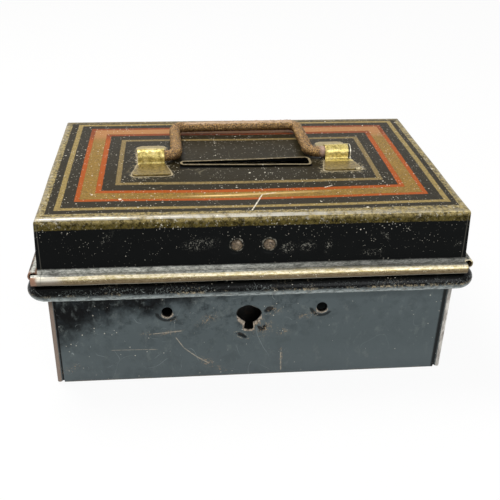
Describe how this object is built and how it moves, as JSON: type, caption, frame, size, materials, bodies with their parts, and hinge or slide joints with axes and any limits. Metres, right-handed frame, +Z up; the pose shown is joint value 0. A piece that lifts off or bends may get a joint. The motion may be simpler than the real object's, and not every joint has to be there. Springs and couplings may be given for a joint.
{
  "type": "tin money box",
  "caption": "Rectangular tinplate money box with a hinged lid, a coin slot in the lid's top, a folding wire handle and a keyed lock in the front.",
  "frame": {"origin": "centre of the base's flat underside, on the surface the box stands on", "axes": "+Z up through the lid, -Y out of the front wall with the keyhole, +X to the right seen from the front"},
  "size_m": [0.1626, 0.107, 0.0765],
  "materials": {
    "japanned_tin": "glossy black japanning, worn and scratched, with painted gold and orange lines on the lid",
    "brassed_steel": "dull brassed steel strip with bright worn crowns",
    "rusty_wire": "brown rusted steel wire with a coarse pitted skin",
    "bare_steel": "plain dull steel with light brown oxide"
  },
  "bodies": {
    "base": {"base_tray": "japanned_tin", "base_end_left": "japanned_tin", "base_end_right": "japanned_tin", "rim_bead": "japanned_tin", "lock_case": "bare_steel", "lock_cover": "bare_steel", "lock_studs": "bare_steel", "lock_spring": "bare_steel", "hinge_leaf_base_left": "japanned_tin", "hinge_leaf_base_right": "japanned_tin", "hinge_pins": "bare_steel", "base_hinge_rivets": "bare_steel"},
    "bolt": {"lock_bolt": "bare_steel"},
    "lid": {"lid_top": "japanned_tin", "lid_end_left": "japanned_tin", "lid_end_right": "japanned_tin", "hinge_leaf_lid_left": "japanned_tin", "hinge_leaf_lid_right": "japanned_tin", "lid_hinge_rivets": "bare_steel", "hasp": "bare_steel", "hasp_rivets": "bare_steel", "clip_left": "brassed_steel", "clip_right": "brassed_steel"},
    "handle": {"handle": "rusty_wire"}
  },
  "joints": [
    {"name": "lid_hinge", "type": "hinge", "parent": "base", "child": "lid", "pos_m": [0, 0.0496, 0.0465], "axis": [-1, 0, 0], "range_deg": [0, 105]},
    {"name": "handle_hinge", "type": "hinge", "parent": "lid", "child": "handle", "pos_m": [0, 0.0008, 0.0736], "axis": [0.9997, 0.0262, 0], "range_deg": [0, 170]},
    {"name": "bolt_slide", "type": "slide", "parent": "base", "child": "bolt", "axis": [-1, 0, 0], "range_m": [0, 0.004]}
  ]
}
